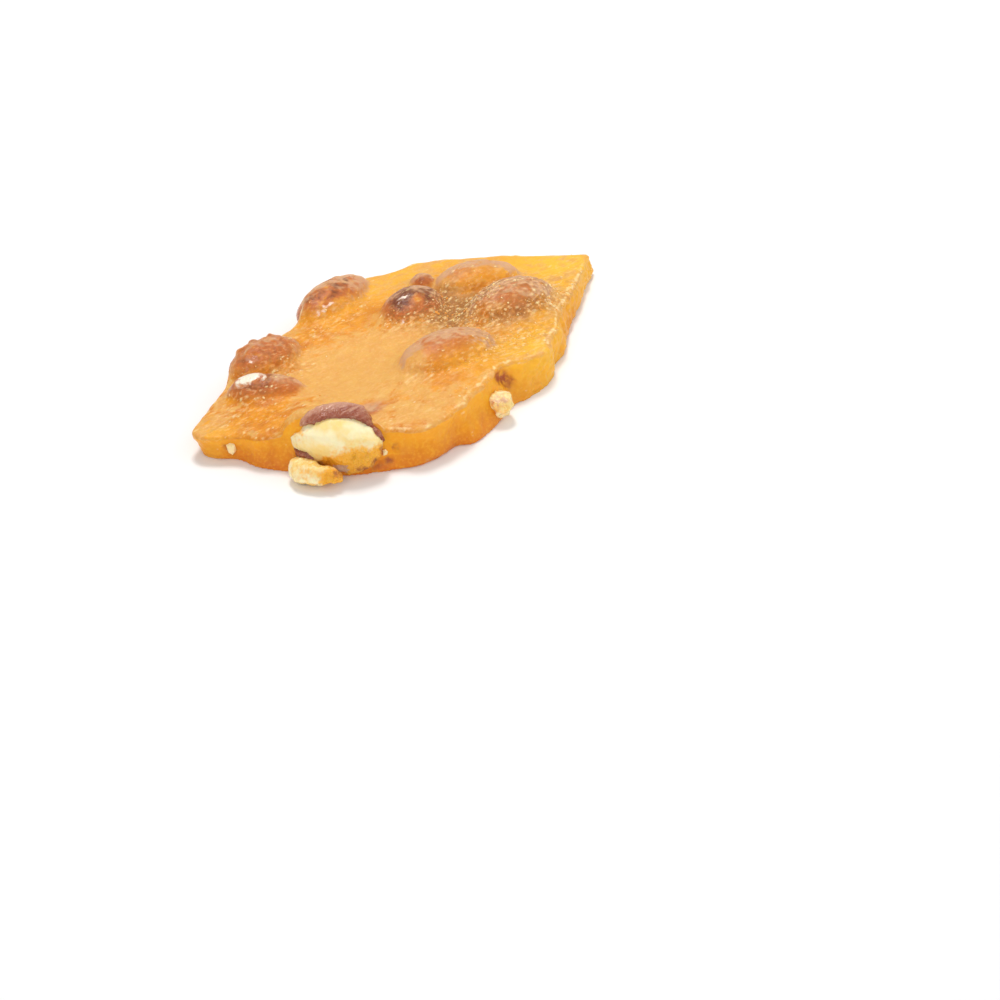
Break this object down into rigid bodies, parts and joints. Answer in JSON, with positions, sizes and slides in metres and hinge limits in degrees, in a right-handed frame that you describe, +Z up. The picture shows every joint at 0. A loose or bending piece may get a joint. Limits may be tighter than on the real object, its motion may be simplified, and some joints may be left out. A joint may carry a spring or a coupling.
{
  "type": "nut brittle piece",
  "caption": "Flat broken slab of hard amber candy with whole and broken roasted peanuts set in it, lying on its flat underside.",
  "frame": {"origin": "middle of the bounding box at the underside that the piece lies on", "axes": "+X along the piece's length towards its sharp corner, +Y across it, +Z up out of the side that shows the nuts"},
  "size_m": [0.1003, 0.0546, 0.0118],
  "materials": {
    "candy": "hard amber candy, glossy on broken faces and hazy with sugar bloom on top",
    "nut_skin": "red-brown peanut skin under a thin candy film",
    "nut_flesh": "pale roasted peanut flesh, golden at its margins"
  },
  "bodies": {
    "root": {"candy_slab": "candy", "nut_edge_large": "nut_flesh", "nut_edge_small": "nut_flesh", "nut_edge_right": "nut_flesh", "nut_left_back": "nut_skin", "nut_left_front": "nut_skin", "nut_back_left": "nut_skin", "nut_dark": "nut_skin", "nut_dark_tip": "nut_skin", "nut_back": "nut_skin", "nut_back_right": "nut_skin", "nut_centre": "nut_skin"}
  },
  "joints": []
}
